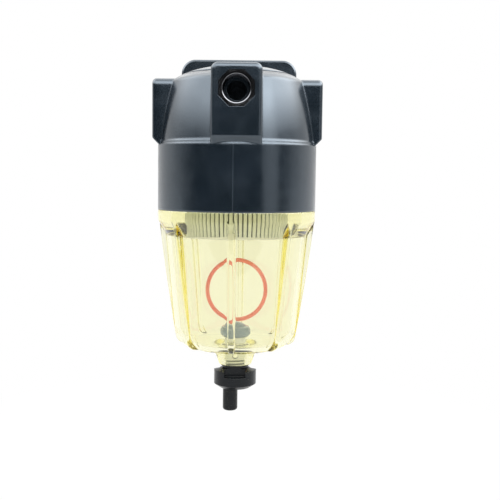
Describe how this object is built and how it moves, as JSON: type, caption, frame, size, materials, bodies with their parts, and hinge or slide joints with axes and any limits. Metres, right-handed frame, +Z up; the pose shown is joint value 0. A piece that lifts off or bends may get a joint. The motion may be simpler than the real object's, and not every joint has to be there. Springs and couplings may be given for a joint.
{
  "type": "fuel water separator",
  "caption": "Marine fuel filter and water separator: black ported head with a bolt-on plate, pleated element, clear amber ribbed bowl, float ring and drain valve.",
  "frame": {"origin": "midway between the two bolt holes, on the rear face of the mounting plate", "axes": "+Z up along the filter's axis, +Y out of the plate's rear face towards the bulkhead, so the front port faces -Y"},
  "size_m": [0.0968, 0.0984, 0.212],
  "materials": {
    "head_plastic": "satin charcoal black, moulded",
    "port_metal": "black anodised, glossy",
    "sleeve_steel": "plated",
    "end_cap": "pale, slightly green",
    "filter_paper": "resin-treated pleated paper",
    "core_plastic": "pale moulded",
    "black_rubber": "smooth",
    "bowl_amber": "clear pale amber",
    "ring_red": "bright red",
    "grey_rubber": "grey, smooth",
    "stem_plastic": "pale, translucent, threaded",
    "drain_plastic": "black, moulded"
  },
  "bodies": {
    "head": {"head": "head_plastic", "front_port_insert": "port_metal", "left_port_insert": "port_metal", "right_port_insert": "port_metal", "left_bolt_sleeve": "sleeve_steel", "right_bolt_sleeve": "sleeve_steel"},
    "filter_element": {"element_top_cap": "end_cap", "element_bottom_cap": "end_cap", "pleated_media": "filter_paper", "core_tube": "core_plastic", "element_grommet": "black_rubber"},
    "bowl_seal": {"bowl_seal": "black_rubber"},
    "bowl": {"bowl": "bowl_amber", "float_ring": "ring_red"},
    "drain_head": {"drain_head": "grey_rubber"},
    "drain_valve": {"drain_stem": "stem_plastic", "drain_valve": "drain_plastic", "drain_o_ring": "black_rubber", "drain_washer": "black_rubber"}
  },
  "joints": [
    {"name": "element_release", "type": "slide", "parent": "head", "child": "filter_element", "axis": [0, 0, -1], "range_m": [0, 0.014]},
    {"name": "bowl_drop", "type": "slide", "parent": "head", "child": "bowl_seal", "axis": [0, 0, -1], "range_m": [0, 0.012]},
    {"name": "bowl_turn", "type": "hinge", "parent": "bowl_seal", "child": "bowl", "pos_m": [0, -0.05, -0.08], "axis": [0, 0, -1], "range_deg": [0, 1080]},
    {"name": "drain_drop", "type": "slide", "parent": "bowl", "child": "drain_head", "axis": [0, 0, -1], "range_m": [0, 0.004]},
    {"name": "drain_turn", "type": "hinge", "parent": "drain_head", "child": "drain_valve", "pos_m": [0, -0.05, -0.17], "axis": [0, 0, -1], "range_deg": [0, 720]}
  ],
  "couplings": [
    {"joint": "bowl_turn", "follows": "bowl_drop", "rad_per_m": 1570.8},
    {"joint": "drain_turn", "follows": "drain_drop", "rad_per_m": 3141.6}
  ]
}
